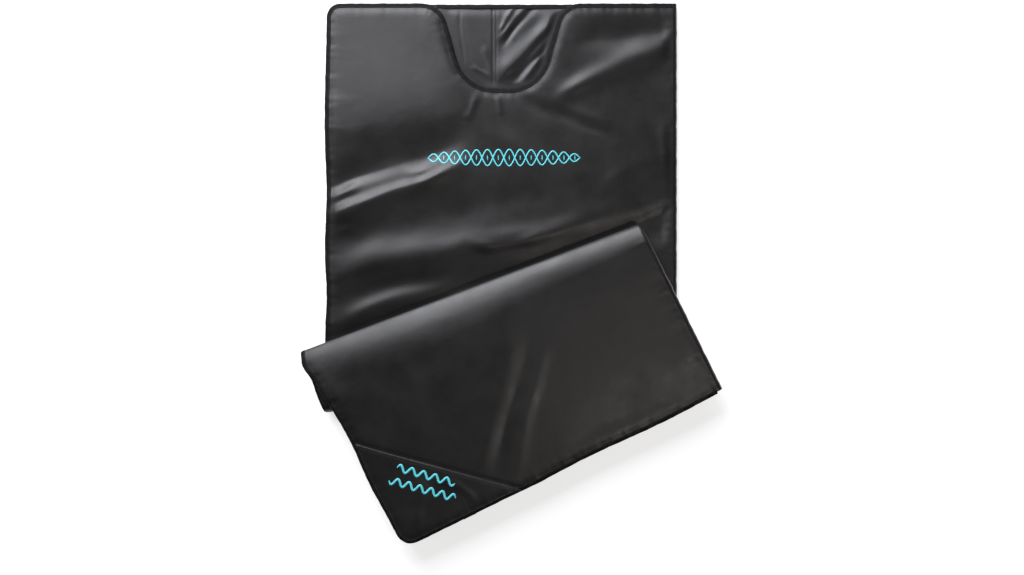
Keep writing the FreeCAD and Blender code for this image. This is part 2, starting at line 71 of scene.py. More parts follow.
# ---------------- sizes that part.py also uses
LENGTH = 1.775
FOOT = HEAD - LENGTH
TAPE = 0.012
CLOSURE = 0.025
HEAD_CORNER = 0.038
FOOT_CORNER = 0.043
SHOULDER_PLACE, SHOULDER_ARC = 0.205, 0.066
SCOOP_PLACE, SCOOP_ARC, SCOOP_DEPTH = 0.018, 0.100, 0.218
PATCH_SIDE, PATCH_END = 0.300, 0.340
INLET_PLACE, INLET_WIDE = 0.260, 0.030
GAP = 0.0002
ROLL = BAG + GAP
ROLL_START = BAG + 2 * GAP
SPLIT = 0.100

# ---------------- sizes of the soft shapes
FOLD_END_SLACK = 0.020
SIDE_WAVER = 0.0022
FOOT_WAVER = 0.0024
SHELL_INSET = 0.006
HALF_NOSE = 0.46
NOSE_LONG, NOSE_EXTRA_LONG = 0.052, 0.086
NOSE_PROUD, NOSE_EXTRA_PROUD = 0.0018, 0.0062
NOSE_BEND = 1.62
NOSE_SETTLE = 0.13
PRESS_DEPTH, PRESS_REACH = 0.0086, 0.025
COVER_GAP = 0.0004
STITCH_INSET = TAPE - 0.0018


def unit(vector):
    vector = np.array(vector, float)
    return vector / np.linalg.norm(vector)


def half_turn(x, y, point, along):
    """Plan position after half a turn about a level line."""
    reach = (x - point[0]) * along[0] + (y - point[1]) * along[1]
    return 2 * (point[0] + reach * along[0]) - x, 2 * (point[1] + reach * along[1]) - y


LOWER_POINT = np.array(JOINTS["lower_fold"]["pos_m"][:2])
LOWER_ALONG = unit(JOINTS["lower_fold"]["axis"][:2])
LOWER_HEIGHT = JOINTS["lower_fold"]["pos_m"][2]
UPPER_HEIGHT = JOINTS["upper_fold"]["pos_m"][2]
stored_point = np.array(JOINTS["upper_fold"]["pos_m"][:2])
stored_along = -unit(JOINTS["upper_fold"]["axis"][:2])
UPPER_POINT = np.array(half_turn(*stored_point, LOWER_POINT, LOWER_ALONG))
UPPER_ALONG = 2 * np.dot(stored_along, LOWER_ALONG) * LOWER_ALONG - stored_along
FLAT_UPPER_HEIGHT = 2 * LOWER_HEIGHT - UPPER_HEIGHT


def side_of(along):
    """Level direction square to a line, to its left."""
    return np.array([-along[1], along[0]])


def past(x, y, point, along):
    """Distance from a fold line, more towards the head end."""
    across = side_of(along)
    return (x - point[0]) * across[0] + (y - point[1]) * across[1]


def nose(fx, fy, fz, top_side):
    """Eases the upper fold into a long soft nose, fatter at its left end."""
    across = side_of(stored_along)
    behind = -((fx - stored_point[0]) * across[0] + (fy - stored_point[1]) * across[1])
    along = (fx - stored_point[0]) * stored_along[0] + (fy - stored_point[1]) * stored_along[1]
    left = np.clip((HALF_NOSE - along) / (2 * HALF_NOSE), 0, 1)
    long = NOSE_LONG + NOSE_EXTRA_LONG * left ** 1.1
    tall = ROLL + NOSE_PROUD + NOSE_EXTRA_PROUD * left
    behind = np.clip(behind, 1e-6, None)
    eased = tall * (1 - np.clip((long - behind) / long, 0, 1) ** NOSE_BEND) ** (1 / NOSE_BEND)
    eased = ROLL + (eased - ROLL) * np.exp(-(np.clip(behind - long, 0, None) / NOSE_SETTLE) ** 2)
    plain = ROLL * np.sqrt(1 - np.clip((ROLL - behind) / ROLL, 0, 1) ** 2)
    share = eased / plain
    share = np.where(fz > UPPER_HEIGHT, share, np.minimum(share, 1))
    return np.where(top_side, UPPER_HEIGHT + (fz - UPPER_HEIGHT) * share, fz)


def loosen(x, y):
    """Slack at the folds' left ends, and a slow waver of the left side and foot end."""
    near_fold = np.exp(-(past(x, y, UPPER_POINT, UPPER_ALONG) / 0.110) ** 2)
    slack = smooth((MIDDLE - 0.20 - x) / 0.25) * near_fold
    x = x - FOLD_END_SLACK * slack * (1 + 0.22 * np.sin(y * 74))
    x = x - SIDE_WAVER * np.sin(y * 19 + 1.2 * np.sin(y * 7)) * np.exp(-(x - LEFT) / 0.06)
    right_part = smooth((x - MIDDLE + 0.16) / 0.12)
    return x, y + FOOT_WAVER * np.sin(x * 15 + 1.0) * right_part * np.exp(-(y - FOOT) / 0.07)


def fold(x, y, w):
    """Turns points of the flat blanket into the stored Z."""
    x, y, w = (np.array(item, float) for item in np.broadcast_arrays(x, y, w))
    x, y = loosen(x, y)
    lower = past(x, y, LOWER_POINT, LOWER_ALONG)
    upper = past(x, y, UPPER_POINT, UPPER_ALONG)

    def rolled(distance, radius, along):
        """Plan position on a roll, and the roll's angle."""
        angle = math.pi * (ROLL_START - distance) / (2 * ROLL_START)
        shift = ROLL_START - radius * np.sin(angle) - distance
        across = side_of(along)
        return x + shift * across[0], y + shift * across[1], angle

    on_roll, turned = np.abs(upper) < ROLL_START, upper <= -ROLL_START
    radius = w - FLAT_UPPER_HEIGHT
    rx, ry, angle = rolled(upper, radius, UPPER_ALONG)
    tx, ty = half_turn(x, y, UPPER_POINT, UPPER_ALONG)
    fx = np.where(turned, tx, np.where(on_roll, rx, x))
    fy = np.where(turned, ty, np.where(on_roll, ry, y))
    fz = np.where(on_roll, FLAT_UPPER_HEIGHT + radius * np.cos(angle), w)
    fz = np.where(turned, 2 * FLAT_UPPER_HEIGHT - w, fz)
    on_roll, turned = np.abs(lower) < ROLL_START, lower <= -ROLL_START
    radius = LOWER_HEIGHT - w
    rx, ry, angle = rolled(lower, radius, LOWER_ALONG)
    tx, ty = half_turn(fx, fy, LOWER_POINT, LOWER_ALONG)
    fx = np.where(on_roll, rx, np.where(turned, tx, fx))
    fy = np.where(on_roll, ry, np.where(turned, ty, fy))
    fz = np.where(turned, 2 * LOWER_HEIGHT - fz, fz)
    fz = np.where(on_roll, LOWER_HEIGHT - radius * np.cos(angle), fz)
    return fx, fy, nose(fx, fy, fz, turned)


def smooth(value):
    value = np.clip(value, 0, 1)
    return value * value * (3 - 2 * value)


# ---------------- edges of the panels
EDGE_STEP = 0.004


def line_points(start, end):
    count = max(2, int(math.dist(start, end) / EDGE_STEP))
    return [tuple(np.array(start) + (np.array(end) - start) * k / count) for k in range(count)]


def arc_points(centre, radius, first, last):
    count = max(4, int(abs(last - first) * radius / EDGE_STEP))
    angles = [first + (last - first) * k / count for k in range(count)]
    return [(centre[0] + radius * math.cos(a), centre[1] + radius * math.sin(a)) for a in angles]


def neck_lean():
    """Direction of the tangent points of the neckline's two arcs."""
    dx = SHOULDER_PLACE - SCOOP_PLACE
    dy = SCOOP_DEPTH - SCOOP_ARC - SHOULDER_ARC
    return math.atan2(dy, dx) - math.acos((SHOULDER_ARC + SCOOP_ARC) / math.hypot(dx, dy))


def neck_points():
    """The neckline from its right shoulder round to its left one."""
    lean = neck_lean()
    scoop_y = HEAD - SCOOP_DEPTH + SCOOP_ARC
    right_shoulder = (MIDDLE + SHOULDER_PLACE, HEAD - SHOULDER_ARC)
    left_shoulder = (MIDDLE - SHOULDER_PLACE, HEAD - SHOULDER_ARC)
    right_scoop = (MIDDLE + SCOOP_PLACE, scoop_y)
    left_scoop = (MIDDLE - SCOOP_PLACE, scoop_y)
    down = arc_points(right_shoulder, SHOULDER_ARC, math.pi / 2, math.pi + lean)
    first = arc_points(right_scoop, SCOOP_ARC, lean, -math.pi / 2)
    second = arc_points(left_scoop, SCOOP_ARC, -math.pi / 2, -math.pi - lean)
    up = arc_points(left_shoulder, SHOULDER_ARC, -lean, math.pi / 2)
    right_side = line_points(arc_end(right_shoulder, SHOULDER_ARC, math.pi + lean), first[0])
    base = line_points((right_scoop[0], scoop_y - SCOOP_ARC), (left_scoop[0], scoop_y - SCOOP_ARC))
    left_side = line_points(arc_end(left_scoop, SCOOP_ARC, -math.pi - lean), up[0])
    return down + right_side + first + base + second + left_side + up


def arc_end(centre, radius, angle):
    return centre[0] + radius * math.cos(angle), centre[1] + radius * math.sin(angle)


NECK = neck_points()
HEAD_ARC = arc_points((LEFT + HEAD_CORNER, HEAD - HEAD_CORNER), HEAD_CORNER, math.pi / 2, math.pi)
SIDE_LINE = line_points((LEFT, HEAD - HEAD_CORNER), (LEFT, FOOT + FOOT_CORNER))
CORNER_START = (LEFT + HEAD_CORNER, HEAD)
COVER_EDGE = np.array(
    line_points((RIGHT - 0.004, HEAD), NECK[0]) + NECK
    + line_points((MIDDLE - SHOULDER_PLACE, HEAD), CORNER_START) + HEAD_ARC + SIDE_LINE)
BACK_EDGE = np.array(line_points((RIGHT - 0.008, HEAD), CORNER_START) + HEAD_ARC + SIDE_LINE)
FOOT_EDGE = np.array(
    arc_points((LEFT + FOOT_CORNER, FOOT + FOOT_CORNER), FOOT_CORNER, math.pi, 1.5 * math.pi)
    + line_points((LEFT + FOOT_CORNER, FOOT), (SPINE, FOOT)))


def edge_frame(path):
    """Length along a path and its inward direction at each point."""
    tangent = np.gradient(path, axis=0)
    tangent /= np.linalg.norm(tangent, axis=1)[:, None]
    steps = np.linalg.norm(np.diff(path, axis=0), axis=1)
    inward = np.stack([-tangent[:, 1], tangent[:, 0]], axis=1)
    return np.concatenate([[0], np.cumsum(steps)]), inward


def nearest(x, y, path):
    """Distance from each point to a path, and the length along it there."""
    lengths = edge_frame(path)[0]
    shape = x.shape
    best = np.full(x.size, 9.0)
    where = np.zeros(x.size)
    flat_x, flat_y = x.ravel(), y.ravel()
    for start in range(0, len(path), 64):
        part = path[start:start + 64]
        gaps = np.hypot(flat_x[:, None] - part[None, :, 0], flat_y[:, None] - part[None, :, 1])
        index = gaps.argmin(axis=1)
        value = gaps[np.arange(len(index)), index]
        better = value < best
        best = np.where(better, value, best)
        where = np.where(better, lengths[start + index], where)
    return best.reshape(shape), where.reshape(shape)


# ---------------- wrinkles
# Each crease: four control points (millimetres right of the middle, below the head end), rise, then
# the widths of its upper and lower flank.
COVER_CREASES = [
    ([(-458, 548), (-310, 506), (-210, 456), (-90, 405)], 10.5, 17, 36),
    ([(-455, 505), (-420, 492), (-395, 482), (-360, 470)], 3.0, 11, 14),
    ([(-250, 444), (-215, 428), (-190, 417), (-150, 400)], 3.0, 11, 18),
    ([(-460, 470), (-340, 440), (-240, 402), (-110, 352)], -9.0, 60, 22),
    ([(-470, 312), (-330, 324), (-200, 304), (-60, 244)], 6.5, 130, 54),
    ([(-455, 622), (-280, 576), (-80, 528), (150, 478)], -4.0, 44, 40),
    ([(-455, 700), (-240, 622), (-40, 650), (290, 530)], 7.0, 34, 24),
    ([(-70, 624), (-10, 636), (40, 624), (110, 584)], 3.0, 13, 14),
    ([(-450, 785), (-330, 728), (-180, 706), (30, 676)], -7.0, 30, 40),
    ([(-400, 816), (-310, 756), (-220, 730), (-120, 738)], 3.2, 24, 22),
    ([(150, 232), (240, 190), (340, 136), (452, 88)], 7.0, 26, 30),
    ([(200, 96), (290, 96), (370, 82), (452, 60)], -6.0, 40, 26),
    ([(30, 236), (110, 262), (190, 296), (280, 346)], -2.6, 18, 15),
    ([(60, 230), (140, 250), (230, 290), (310, 332)], 1.4, 16, 20),
    ([(-200, 30), (-170, 110), (-140, 190), (-60, 250)], 1.5, 34, 30),
    ([(424, 300), (410, 380), (420, 450), (432, 520)], 2.0, 14, 16),
    ([(250, 480), (300, 430), (360, 400), (430, 390)], 2.0, 30, 26),
    ([(-20, 330), (60, 400), (160, 440), (280, 450)], 1.6, 30, 30),
    ([(-452, 250), (-420, 254), (-390, 254), (-360, 250)], 0.4, 14, 16),
    ([(-452, 590), (-430, 588), (-400, 582), (-370, 570)], 1.4, 10, 12),
    ([(-60, 236), (-64, 256), (-72, 280), (-84, 300)], 1.6, 9, 10),
    ([(-8, 240), (-6, 256), (-2, 270), (6, 290)], 1.2, 7, 8),
    ([(440, 640), (400, 600), (372, 560), (350, 520)], 1.0, 22, 24),
]
FLAP_CREASES = [
    ([(30, 840), (22, 920), (-8, 1030), (-64, 1215)], 3.0, 26, 26),
    ([(70, 860), (50, 940), (24, 1040), (-22, 1205)], -1.6, 16, 14),
    ([(106, 880), (90, 960), (66, 1050), (34, 1200)], 2.6, 15, 60),
    ([(-250, 900), (-210, 990), (-190, 1080), (-200, 1160)], 1.8, 34, 30),
    ([(-440, 960), (-340, 968), (-250, 940), (-120, 885)], -2.4, 40, 44),
    ([(180, 1110), (270, 1060), (380, 1014), (500, 980)], -2.4, 44, 26),
    ([(-206, 1200), (-202, 1240), (-206, 1290), (-214, 1330)], 2.6, 20, 18),
    ([(-60, 1270), (-80, 1240), (-110, 1220), (-150, 1205)], 1.6, 10, 12),
    ([(430, 720), (452, 790), (480, 860), (506, 930)], 1.6, 26, 26),
]
LINING_CREASES = [
    ([(150, 30), (104, 76), (48, 130), (-8, 192)], 5.0, 22, 11),
    ([(146, 84), (106, 120), (70, 152), (30, 200)], -3.0, 10, 10),
    ([(92, 0), (60, 30), (30, 66), (2, 110)], -2.4, 10, 8),
    ([(74, 0), (46, 28), (22, 56), (0, 92)], 2.6, 9, 8),
    ([(38, 4), (22, 24), (10, 46), (-2, 70)], 2.2, 6, 7),
    ([(118, 92), (96, 124), (78, 156), (62, 200)], 3.0, 15, 12),
    ([(-104, 4), (-106, 60), (-102, 110), (-94, 160)], -0.5, 3, 5),
    ([(-44, 110), (-40, 140), (-34, 166), (-24, 190)], 0.9, 8, 8),
    ([(-76, 160), (-58, 172), (-42, 180), (-26, 196)], 0.9, 6, 7),
]


def crease_height(x, y, creases, wander=1.0):
    """Sum of creases at plan positions, in metres: cubic lines over their own chords."""
    right = (x - MIDDLE) * 1000
    below = (HEAD - y) * 1000
    drift_right = 5 * np.sin(below / 41 + 0.8) + 1.6 * np.sin(below / 15 + right / 40)
    drift_below = 4 * np.sin(right / 47 + 2.0) + 1.4 * np.sin(right / 19 + below / 50)
    right, below = right + wander * drift_right, below + wander * drift_below
    total = np.zeros_like(right)
    for number, (controls, rise, above_width, below_width) in enumerate(creases):
        start, first, second, end = (np.array(control, float) for control in controls)
        reach = np.linalg.norm(end - start)
        along = (end - start) / reach
        if along[0] < -0.3:
            start, first, second, end, along = end, second, first, start, -along
        normal = np.array([-along[1], along[0]])
        t = ((right - start[0]) * along[0] + (below - start[1]) * along[1]) / reach
        held = np.clip(t, 0, 1)
        bow = 3 * held * (1 - held) ** 2 * np.dot(first - start, normal)
        bow = bow + 3 * held ** 2 * (1 - held) * np.dot(second - start, normal)
        side = (right - start[0]) * normal[0] + (below - start[1]) * normal[1] - bow
        spread = 1 + 0.18 * np.sin(t * 7 + number)
        width = np.where(side < 0, above_width, below_width) * spread
        fade = smooth((t + 0.10) / 0.30) * smooth((1.12 - t) / 0.42)
        strength = 1 + 0.14 * np.sin(t * 9 + 2 * number)
        total += rise * strength * fade * np.exp(-(side / width) ** 2)
    return total / 1000


def ripple(length, seed):
    """An uneven wave along an edge, from -1 to 1."""
    total = np.zeros_like(length)
    for number, wave in enumerate((0.067, 0.041, 0.027, 0.019)):
        phase = seed * 1.7 + number * 2.1
        drift = 1.3 * np.sin(length * 9.0 + seed)
        total += np.sin(2 * math.pi * length / wave + phase + drift) / (1 + 0.35 * number)
    return total / 2.6


EDGE_DIP, EDGE_REACH = 0.0026, 0.013


def edge_shape(x, y, path, seed, pucker=0.0010):
    """How a padded panel thins and puckers towards its bound edge."""
    gap, length = nearest(x, y, path)
    inward = np.clip(gap - TAPE * 0.7, 0, None)
    thin = -EDGE_DIP * np.exp(-(inward / EDGE_REACH) ** 2)
    return thin + pucker * ripple(length, seed) * np.exp(-inward / EDGE_REACH) * smooth(gap / TAPE)


def rolling(x, y, seed):
    """Slow unevenness of a padded panel."""
    total = 0
    for number in range(1, 5):
        a, b = math.cos(number * 1.9 + seed), math.sin(number * 2.7 + seed)
        total = total + np.sin((a * x + b * y) * (9 + 5 * number) + seed * number) / number
    return total


def cover_top(x, y):
    """Height of the cover's outer face above the back panel's outer face."""
    x, y = np.asarray(x, float), np.asarray(y, float)
    lower = past(x, y, LOWER_POINT, LOWER_ALONG)
    upper = past(x, y, UPPER_POINT, UPPER_ALONG)
    head = smooth((lower - SPLIT) / 0.05)
    foot = smooth((-upper - 0.004) / 0.05)
    spine = np.clip(SPINE - x, 0, None)
    height = BAG + edge_shape(x, y, COVER_EDGE, 1.0) * smooth((lower - 0.03) / 0.05)
    foot_rim = edge_shape(x, y, np.vstack([SIDE_LINE, FOOT_EDGE]), 2.4, pucker=0.0012)
    height = height + foot_rim * smooth(-upper / 0.05)
    fade = smooth(spine / 0.030) * 0.9 + 0.1
    height = height + head * fade * crease_height(x, y, COVER_CREASES)
    height = height + head * fade * press(x, y)
    sx, sy, _ = fold(x, y, np.full_like(x, BAG))
    height = height + foot * fade * crease_height(sx, sy, FLAP_CREASES, 0.45)
    height = height + (head + foot) * (0.0007 * rolling(x, y, 0.4))
    near_spine = np.exp(-spine / 0.016)
    height = height + (head + foot) * 0.0007 * ripple(y, 5.0) * near_spine * smooth(spine / 0.006)
    return height + foot * patch_seam(x, y)


def press(x, y):
    """The cover pressed down under the upper fold and just ahead of it."""
    ahead = past(x, y, stored_point, stored_along)
    fade = np.exp(-(np.clip(ahead, 0, None) / PRESS_REACH) ** 2)
    return -PRESS_DEPTH * fade * smooth((ahead + 0.10) / 0.08)


PATCH_START = np.array([LEFT, FOOT + PATCH_SIDE])
PATCH_ALONG = unit([PATCH_END, -PATCH_SIDE])
PATCH_REACH = math.hypot(PATCH_END, PATCH_SIDE)
PATCH_THICK = 0.0010


def patch_seam(x, y):
    """How the cover sinks along the seam that holds the corner patch."""
    gap = past(x, y, PATCH_START, PATCH_ALONG)
    return -0.0012 * np.exp(-((gap - 0.003) / 0.006) ** 2)


def patch_top(x, y):
    """Height of the corner patch's outer face."""
    return cover_top(x, y) + PATCH_THICK


def lining_top(x, y):
    """Height of the back panel's inner face, wrinkled where the neck cut-out shows it."""
    x, y = np.asarray(x, float), np.asarray(y, float)
    gap, _ = nearest(x, y, np.array(NECK))
    inside = neck_depth(x) > (HEAD - y)
    show = np.where(inside, smooth((gap - 0.004) / 0.018), 0)
    edge = -0.0022 * np.exp(-((HEAD - y - TAPE * 0.7) / 0.014) ** 2)
    seams = sum(np.exp(-((x - MIDDLE - place) / 0.0016) ** 2) for place in (-0.022, -0.014))
    height = PANEL + show * (crease_height(x, y, LINING_CREASES, 0.35) - 0.0010 * seams)
    return height + edge * show + 0.0003 * show * rolling(x * 4, y * 4, 1.2)


def neck_depth(x, inset=0.0):
    """Depth of the neckline below the head end at each X."""
    off = np.abs(np.asarray(x, float) - MIDDLE)
    lean = neck_lean()
    shoulder, scoop = SHOULDER_ARC - inset, SCOOP_ARC + inset
    high_x = SHOULDER_PLACE - shoulder * math.cos(lean)
    high = SHOULDER_ARC + shoulder * math.sin(lean)
    low_x = SCOOP_PLACE + scoop * math.cos(lean)
    low = SCOOP_DEPTH - SCOOP_ARC - scoop * math.sin(lean)
    arc = SHOULDER_ARC - np.sqrt(np.clip(shoulder ** 2 - (SHOULDER_PLACE - off) ** 2, 0, None))
    line = high + (low - high) * (high_x - off) / (high_x - low_x)
    out = np.clip(off - SCOOP_PLACE, 0, None)
    bowl = SCOOP_DEPTH - SCOOP_ARC + np.sqrt(np.clip(scoop ** 2 - out ** 2, 0, None))
    depth = np.where(off > high_x, arc, np.where(off > low_x, line, bowl))
    return np.where(off >= SHOULDER_PLACE, inset, depth)


# ---------------- meshes
def make_mesh(name, verts, faces, materials, indices=None, sharp=50):
    mesh = bpy.data.meshes.new(name)
    mesh.from_pydata([tuple(v) for v in verts], [], [tuple(f) for f in faces])
    for material in materials:
        mesh.materials.append(material)
    if indices is not None:
        mesh.polygons.foreach_set("material_index", np.array(indices, np.int32))
    mesh.polygons.foreach_set("use_smooth", np.ones(len(mesh.polygons), bool))
    mesh.update()
    mesh.set_sharp_from_angle(angle=math.radians(sharp))
    piece = bpy.data.objects.new(name, mesh)
    bpy.context.scene.collection.objects.link(piece)
    return piece


def columns():
    """X of every grid column: closer at the rounded corners and the neckline's sides."""
    left = LEFT + SHELL_INSET
    spans = [
        (left, left + 0.04, 18), (left + 0.04, MIDDLE - 0.21, 52),
        (MIDDLE - 0.21, MIDDLE - 0.095, 40), (MIDDLE - 0.095, MIDDLE + 0.095, 60),
        (MIDDLE + 0.095, MIDDLE + 0.21, 40), (MIDDLE + 0.21, SPINE - 0.02, 56),
        (SPINE - 0.02, SPINE, 7),
    ]
    parts = [np.linspace(low, high, count, endpoint=False) for low, high, count in spans]
    return np.concatenate(parts + [[SPINE]])


def fold_line(x, point, along, distance):
    """Y of the line that lies at a distance from a fold, at each X."""
    across = side_of(along)
    return point[1] + (distance - (x - point[0]) * across[0]) / across[1]


def corner_cut(x, radius, inset):
    """How far a rounded left corner cuts into an end at each X."""
    size = radius - inset
    run = np.clip(LEFT + radius - x, 0, size)
    return inset + size - np.sqrt(size ** 2 - run ** 2)


FOLD_STATIONS = {
    "split_head": (LOWER_POINT, LOWER_ALONG, SPLIT),
    "lower_in": (LOWER_POINT, LOWER_ALONG, ROLL_START),
    "lower_out": (LOWER_POINT, LOWER_ALONG, -ROLL_START),
    "upper_in": (UPPER_POINT, UPPER_ALONG, ROLL_START),
    "upper_out": (UPPER_POINT, UPPER_ALONG, -ROLL_START),
}


def station(name, x):
    """Y of one cross line of the blanket, at each X."""
    if name in FOLD_STATIONS:
        return fold_line(x, *FOLD_STATIONS[name])
    if name == "back_head":
        return HEAD - corner_cut(x, HEAD_CORNER, SHELL_INSET)
    if name == "cover_head":
        corner = corner_cut(x, HEAD_CORNER, SHELL_INSET)
        return HEAD - np.maximum(corner, neck_depth(x, SHELL_INSET))
    if name == "spine_head":
        return np.full_like(x, HEAD - 0.001)
    if name == "neck_low":
        return np.full_like(x, HEAD - SCOOP_DEPTH - 0.02)
    if name == "split_mid":
        return (station("lower_out", x) + station("upper_in", x)) / 2
    return FOOT + corner_cut(x, FOOT_CORNER, SHELL_INSET)


def grid(x, stations, counts):
    """Flat grid between cross lines: X and Y arrays of rows by columns."""
    rows = []
    for first, last, count in zip(stations, stations[1:], counts):
        low, high = station(first, x), station(last, x)
        rows.extend(low + (high - low) * k / count for k in range(count))
    rows.append(station(stations[-1], x))
    y = np.array(rows)
    return np.broadcast_to(x, y.shape), y


def closed_grid(name, upper, lower, shape, materials, face_materials):
    """A thin closed solid between two grids of points."""
    rows, cols = shape
    count = rows * cols
    faces, indices = [], []
    for r in range(rows - 1):
        for c in range(cols - 1):
            a = r * cols + c
            faces.append((a, a + cols, a + cols + 1, a + 1))
            faces.append((count + a, count + a + 1, count + a + cols + 1, count + a + cols))
            indices += face_materials
    ring = [c for c in range(cols)] + [r * cols + cols - 1 for r in range(1, rows)]
    ring += [(rows - 1) * cols + c for c in range(cols - 2, -1, -1)]
    ring += [r * cols for r in range(rows - 2, 0, -1)]
    for a, b in zip(ring, ring[1:] + ring[:1]):
        faces.append((a, b, count + b, count + a))
        indices.append(face_materials[0])
    return make_mesh(name, np.vstack([upper, lower]), faces, materials, indices)


def panel(name, stations, counts, top, bottom, materials, x=None):
    """A closed padded panel between two height functions, folded into place."""
    x, y = grid(columns() if x is None else x, stations, counts)
    upper = np.stack(fold(x, y, top(x, y)), axis=-1).reshape(-1, 3)
    lower = np.stack(fold(x, y, bottom(x, y)), axis=-1).reshape(-1, 3)
    return closed_grid(name, upper, lower, y.shape, materials, [0, 1])


def sweep(name, path, profile, materials):
    """A closed profile of (inward, height) pairs carried along an edge of the flat blanket."""
    lengths, inward = edge_frame(path)
    sections = profile(path, inward, lengths)
    count = sections.shape[1]
    verts = []
    for q in range(count):
        x = path[:, 0] + inward[:, 0] * sections[:, q, 0]
        y = path[:, 1] + inward[:, 1] * sections[:, q, 0]
        verts.append(np.stack(fold(x, y, sections[:, q, 1]), axis=-1))
    verts = np.stack(verts, axis=1).reshape(-1, 3)
    faces = []
    for k in range(len(path) - 1):
        for q in range(count):
            n = (q + 1) % count
            faces.append((k * count + q, (k + 1) * count + q, (k + 1) * count + n, k * count + n))
    faces.append(tuple(range(count)))
    faces.append(tuple(range(len(verts) - 1, len(verts) - count - 1, -1)))
    return make_mesh(name, verts, faces, materials)


# A folded tape's section, in shares of its width and its half thickness.
TAPE_OUTSIDE = ((1.0, 1.0), (0.6, 1.0), (0.25, 0.93), (0.08, 0.72), (0.0, 0.3),
                (0.0, -0.3), (0.08, -0.72), (0.25, -0.93), (0.6, -1.0), (1.0, -1.0))
TAPE_INSIDE = ((1.0, -1.0), (0.3, -0.9), (0.16, 0.0), (0.3, 0.9), (1.0, 1.0))
TAPE_THICK = 0.0008


def tape_profile(top, bottom):
    """A binding tape folded round a panel's edge, between two faces."""
    def profile(path, inward, lengths):
        inner = path + inward * TAPE
        high = top(inner[:, 0], inner[:, 1]) + TAPE_THICK
        low = bottom(inner[:, 0], inner[:, 1]) - TAPE_THICK * 0.5
        wobble = 0.0005 * ripple(lengths, 7.0)
        middle = (high + low) / 2
        half = (high - low) / 2
        loop = []
        for depth, share in TAPE_OUTSIDE:
            loop.append((depth * TAPE + wobble, middle + share * half * (1 - 0.10 * (1 - depth))))
        for depth, share in TAPE_INSIDE:
            inner_half = half * (1 - 0.10 * (1 - depth)) - TAPE_THICK
            loop.append((depth * TAPE + wobble, middle + share * inner_half))
        pairs = [np.stack([np.broadcast_to(q, middle.shape), w], axis=-1) for q, w in loop]
        return np.stack(pairs, axis=1)
    return profile


def spine_profile(path_x, path_y):
    """Half-round spine in section: (outward, height) pairs that close on themselves."""
    wobble = 0.0007 * ripple(path_y, 4.0)
    top = np.minimum(cover_top(np.full_like(path_y, SPINE - 0.002), path_y), BAG)
    loop = []
    for angle in np.linspace(-math.pi / 2, math.pi / 2, 15):
        reach = (BAG / 2 + wobble) * math.cos(angle)
        loop.append((path_x + reach, top / 2 + top / 2 * math.sin(angle)))
    loop.append((path_x - 0.004, np.minimum(cover_top(path_x - 0.004, path_y), BAG) - 0.0006))
    loop.append((path_x - 0.004, np.full_like(path_y, 0.0006)))
    return loop


def spine_piece(name, stations, counts):
    x, y = grid(np.array([SPINE]), stations, counts)
    loop = spine_profile(x[:, 0], y[:, 0])
    verts = np.stack([np.stack(fold(px, y[:, 0], pw), axis=-1) for px, pw in loop], axis=1)
    rows, count = verts.shape[:2]
    faces = []
    for r in range(rows - 1):
        for q in range(count):
            n = (q + 1) % count
            faces.append((r * count + q, r * count + n, (r + 1) * count + n, (r + 1) * count + q))
    faces.append(tuple(range(count - 1, -1, -1)))
    faces.append(tuple(range((rows - 1) * count, rows * count)))
    return make_mesh(name, verts.reshape(-1, 3), faces, [SHELL], None, 60)


RIBBON_LIFT, RIBBON_FLAT = 0.0003, 0.5


def ribbon(name, lines, radius, surface):
    """Raised embroidery: each line is a list of flat (x, y) points."""
    verts, faces, sides = [], [], 8
    for line in lines:
        path = np.array(line, float)
        _, inward = edge_frame(path)
        rings = []
        steps = np.arange(len(path))
        taper = np.sqrt(np.clip(np.minimum(steps, steps[::-1]) / 3.0, 0.15, 1))
        for k in range(sides):
            angle = 2 * math.pi * k / sides
            x = path[:, 0] + inward[:, 0] * radius * taper * math.cos(angle)
            y = path[:, 1] + inward[:, 1] * radius * taper * math.cos(angle)
            rise = RIBBON_FLAT * radius * taper * math.sin(angle)
            w = surface(path[:, 0], path[:, 1]) + RIBBON_LIFT + rise
            rings.append(np.stack(fold(x, y, w), axis=-1))
        start = sum(len(item) for item in verts)
        verts.append(np.stack(rings, axis=1).reshape(-1, 3))
        for k in range(len(path) - 1):
            for q in range(sides):
                n = (q + 1) % sides
                a = start + k * sides
                faces.append((a + q, a + sides + q, a + sides + n, a + n))
        faces.append(tuple(start + q for q in range(sides)))
        end = start + (len(path) - 1) * sides
        faces.append(tuple(end + q for q in range(sides - 1, -1, -1)))
    return make_mesh(name, np.vstack(verts), faces, [TEAL], None, 60)


STITCH_PITCH, STITCH_LONG, STITCH_RADIUS, STITCH_SUNK = 0.0052, 0.0034, 0.00042, 0.0005
STITCH_RINGS = ((-0.5, 0.25), (-0.3, 1.0), (0.3, 1.0), (0.5, 0.25))


